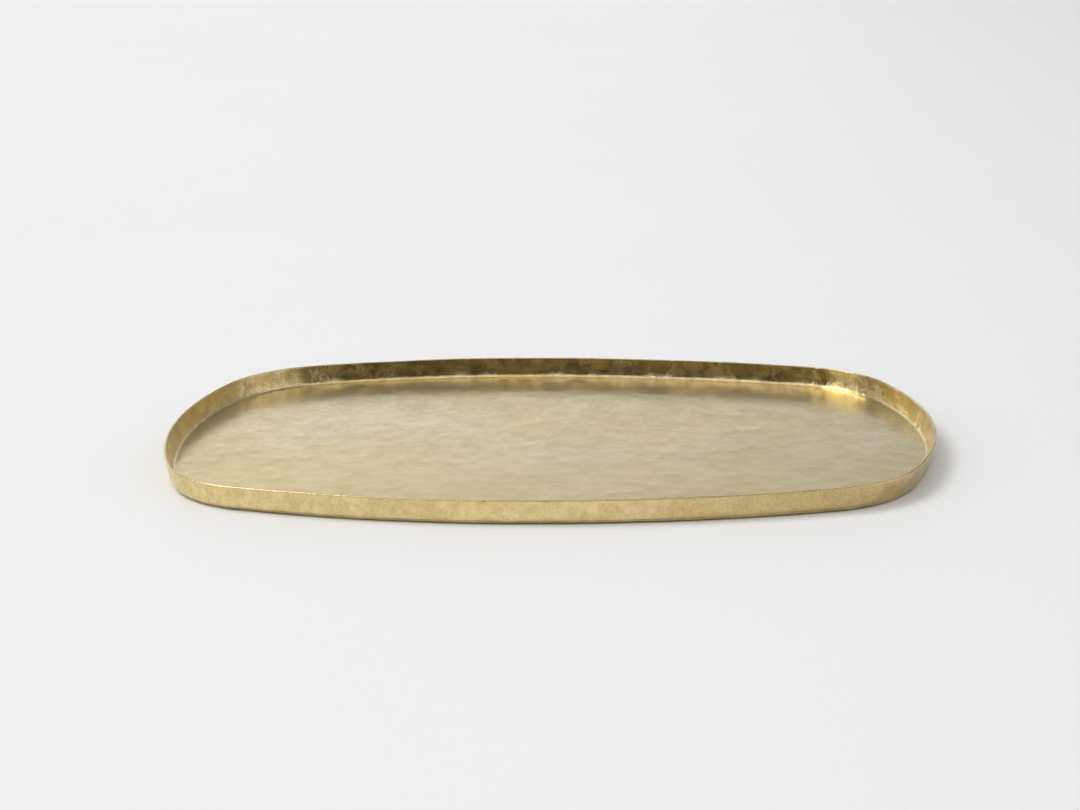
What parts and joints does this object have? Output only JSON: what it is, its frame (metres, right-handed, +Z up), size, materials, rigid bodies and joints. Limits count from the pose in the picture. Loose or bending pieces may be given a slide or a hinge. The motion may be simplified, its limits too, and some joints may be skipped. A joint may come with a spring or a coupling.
{
  "type": "serving tray",
  "caption": "Low hammered brass tray: flat floor in a bowed, round-cornered oblong plan, with a short rim turned up from the same sheet.",
  "frame": {"origin": "middle of the underside, on the surface that the tray stands on", "axes": "+X along the length, +Y across the width, +Z up out of the tray"},
  "size_m": [0.2998, 0.2, 0.0093],
  "materials": {
    "brass": "hammered, dulled to a satin sheen"
  },
  "bodies": {
    "root": {"hammered_tray": "brass"}
  },
  "joints": []
}
